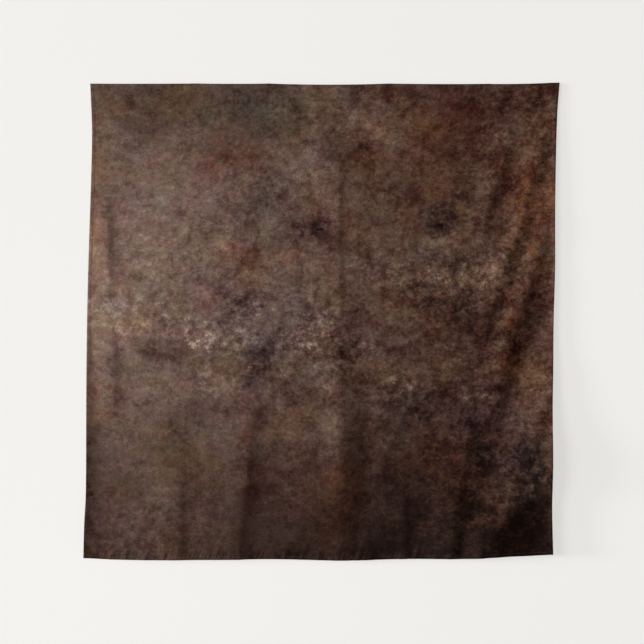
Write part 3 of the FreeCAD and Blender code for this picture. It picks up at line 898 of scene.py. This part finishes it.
def thread_material():
    """Dark brown twisted sewing thread."""
    material, tree, shader = new_material("brown_thread")
    at = add(tree, "TexCoord").outputs["Object"]
    tones = [(0.3, linear(40, 28, 24)), (0.7, linear(66, 48, 41))]
    inputs = {"Vector": at, "Scale": 180.0, "Distortion": 1.0}
    twist = add(tree, "TexWave", inputs, bands_direction="DIAGONAL").outputs["Fac"]
    set_inputs(tree, shader, {
        "Base Color": ramp(tree, noise(tree, at, 260.0, 2.0), tones),
        "Roughness": 0.55,
        "Sheen Weight": 0.15,
        "Normal": bumped(tree, twist, 0.5, 0.0001),
    })
    return material


def tape_material(name, screen, roughness):
    """White nylon tape, with a woven grain and a little yellowing."""
    material, tree, shader = new_material(name)
    at = add(tree, "TexCoord").outputs["Object"]
    aged = linear(*(value * 0.93 for value in screen))
    set_inputs(tree, shader, {
        "Base Color": ramp(tree, noise(tree, at, 60.0, 4.0), [(0.35, aged), (0.65, linear(*screen))]),
        "Roughness": uneven(tree, noise(tree, at, 200.0, 2.0), roughness - 0.06, roughness + 0.06),
        "Normal": bumped(tree, woven_grain(tree, at, TAPE_GRAIN), 0.5),
    })
    return material


def foam_material():
    """White adhesive foam with fine open cells."""
    material, tree, shader = new_material("adhesive_foam")
    at = add(tree, "TexCoord").outputs["Object"]
    cells = add(tree, "TexVoronoi", {"Vector": at, "Scale": 1800.0}).outputs["Distance"]
    set_inputs(tree, shader, {
        "Base Color": ramp(tree, cells, [(0.1, linear(196, 194, 188)), (0.6, linear(226, 224, 218))]),
        "Roughness": uneven(tree, noise(tree, at, 300.0, 2.0), 0.6, 0.8),
        "Normal": bumped(tree, cells, 0.4),
    })
    return material


# -------------------- the cloth, its hems and its thread

PRINTED = print_material()
BACK = plain_cloth_material("cloth_back", (164, 148, 138), 0.30)
THREAD = thread_material()


def bend(piece):
    """Bakes a piece's placement into its points."""
    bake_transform(piece)


def dress(piece, slot, *materials):
    """Gives a piece its materials. The slot is not used."""
    for material in materials:
        piece.data.materials.append(material)


split_row = round(SPLIT * CELLS_DOWN)
split_down = split_row / CELLS_DOWN
upper_cloth = cloth_piece("backdrop_cloth_upper", 0, split_row)
lower_cloth = cloth_piece("backdrop_cloth_lower", split_row, CELLS_DOWN)
for piece in (upper_cloth, lower_cloth):
    dress(piece, "printed_cloth", PRINTED, BACK)

hem_down = HEM_WIDTH / CLOTH_HEIGHT
stitch_across, stitch_down = STITCH_FROM_EDGE / CLOTH_WIDTH, STITCH_FROM_EDGE / CLOTH_HEIGHT
hem_top, hem_bottom = (hem(f"hem_{side}", side, 0.0, 1.0) for side in ("top", "bottom"))
stitches_top, stitches_bottom = (
    stitching(f"stitches_{side}", side, stitch_across, 1 - stitch_across) for side in ("top", "bottom")
)
for turned, stitches, body in ((hem_top, stitches_top, "header"), (hem_bottom, stitches_bottom, "lower")):
    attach(turned, body)
    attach(stitches, body)
    dress(turned, "hem_cloth", BACK)
    dress(stitches, "thread", THREAD)
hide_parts("top_hem")
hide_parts("top_stitching")
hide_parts("bottom_hem", "bottom_left_corner", "bottom_right_corner")
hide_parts("bottom_stitching")

with_upper, with_lower = [hem_top, stitches_top], [hem_bottom, stitches_bottom]
for side in ("left", "right"):
    hem_upper = hem(f"hem_{side}_upper", side, hem_down, split_down)
    hem_lower = hem(f"hem_{side}_lower", side, split_down, 1 - hem_down)
    stitches_upper = stitching(f"stitches_{side}_upper", side, stitch_down, split_down)
    stitches_lower = stitching(f"stitches_{side}_lower", side, split_down, 1 - stitch_down)
    for piece in (hem_upper, hem_lower):
        dress(piece, "hem_cloth", BACK)
    for piece in (stitches_upper, stitches_lower):
        dress(piece, "thread", THREAD)
    for piece in (hem_upper, stitches_upper):
        bend(piece)
        with_upper.append(piece)
    for piece in (hem_lower, stitches_lower):
        bend(piece)
        with_lower.append(piece)
    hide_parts(f"{side}_hem_upper", f"top_{side}_corner")
    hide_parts(f"{side}_hem_lower")
    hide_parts(f"{side}_stitching_upper")
    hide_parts(f"{side}_stitching_lower")

bend(upper_cloth)
bend(lower_cloth)
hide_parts("cloth_header", "cloth_upper")
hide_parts("cloth_lower")

# -------------------- the tabs

HOOK_TAPE = tape_material("hook_tape", (232, 231, 226), 0.45)
LOOP_TAPE = tape_material("loop_tape", (236, 235, 230), 0.85)
FOAM = foam_material()
for number in TABS:
    for node, material in (("adhesive_pad", FOAM), ("hook_strip", HOOK_TAPE), ("loop_strip", LOOP_TAPE)):
        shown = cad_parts[f"{node}_{number}"]
        shown.data.materials.clear()
        shown.data.materials.append(material)

# -------------------- the wall, floor, light and camera

WALL_SIZE = 9.0
FLOOR_Z = -1.85


def stage_plane(name, corners, screen, glow, one_sided):
    """A plain painted surface, evened out by a glow of its own. A one-sided one can't be seen from behind."""
    plane = new_object(name, corners, [(0, 1, 2, 3)], flat_faces=1)
    material, tree, shader = new_material(name)
    at = add(tree, "TexCoord").outputs["Object"]
    darker = linear(*(value - 1.0 for value in screen))
    x = add(tree, "SeparateXYZ", {0: at}).outputs["X"]
    set_inputs(tree, shader, {
        "Base Color": ramp(tree, noise(tree, at, 1.2, 2.0), [(0.3, darker), (0.7, linear(*screen))]),
        "Roughness": 0.9,
        "Specular IOR Level": 0.1,
        "Emission Color": (1.0, 0.992, 0.962, 1.0),
        # The glow is 7% stronger at the left: painted light falling from the left.
        "Emission Strength": span(tree, x, -1.2, 1.2, glow * 1.07, glow),
    })
    if one_sided:
        behind = add(tree, "NewGeometry").outputs["Backfacing"]
        clear = add(tree, "BsdfTransparent")
        either = add(tree, "MixShader", {0: behind, 1: shader.outputs[0], 2: clear.outputs[0]})
        output = next(node for node in tree.nodes if node.type == "OUTPUT_MATERIAL")
        tree.links.new(either.outputs[0], output.inputs[0])
    plane.data.materials.append(material)


half = WALL_SIZE / 2
stage_plane("wall", [(-half, 0, FLOOR_Z), (half, 0, FLOOR_Z), (half, 0, half), (-half, 0, half)],
            (150, 149, 147), 0.572, True)
stage_plane("floor", [(-half, -WALL_SIZE, FLOOR_Z), (half, -WALL_SIZE, FLOOR_Z), (half, half, FLOOR_Z),
                      (-half, half, FLOOR_Z)], (190, 188, 185), 0.28, False)

world = bpy.data.worlds.new("studio")
bpy.context.scene.world = world
world.use_nodes = True
sky = {"Color": (1.0, 0.995, 0.985, 1.0), "Strength": 0.25}
set_inputs(world.node_tree, world.node_tree.nodes["Background"], sky)


def lamp(name, strength, direction, angle):
    """A large soft lamp a long way off, as wide as the given angle in degrees."""
    light = bpy.data.lights.new(name, "SUN")
    light.energy = strength
    light.angle = math.radians(angle)
    made = bpy.data.objects.new(name, light)
    made.rotation_mode = "QUATERNION"
    made.rotation_quaternion = Vector(direction).to_track_quat("Z", "Y")
    bpy.context.scene.collection.objects.link(made)


lamp("key", 1.50, (-1.20, -1.0, 0.16), 25)
lamp("rake", 4.1, (-5.2, -1.0, 0.36), 12)      # nearly along the wall, which brings the folds out

VIEW_WIDTH = 1.787       # of the wall, across the picture
VIEW_CENTRE = (-0.0077, -0.6613)
CAMERA_DISTANCE = 6.0
camera = bpy.data.cameras.new("camera")
camera.sensor_width = 36.0
camera.lens = camera.sensor_width * CAMERA_DISTANCE / VIEW_WIDTH
camera_object = bpy.data.objects.new("camera", camera)
camera_object.location = (VIEW_CENTRE[0], -CAMERA_DISTANCE, VIEW_CENTRE[1])
camera_object.rotation_euler = (math.radians(90), 0, 0)
bpy.context.scene.collection.objects.link(camera_object)
bpy.context.scene.camera = camera_object
bpy.context.scene.view_settings.view_transform = "Standard"
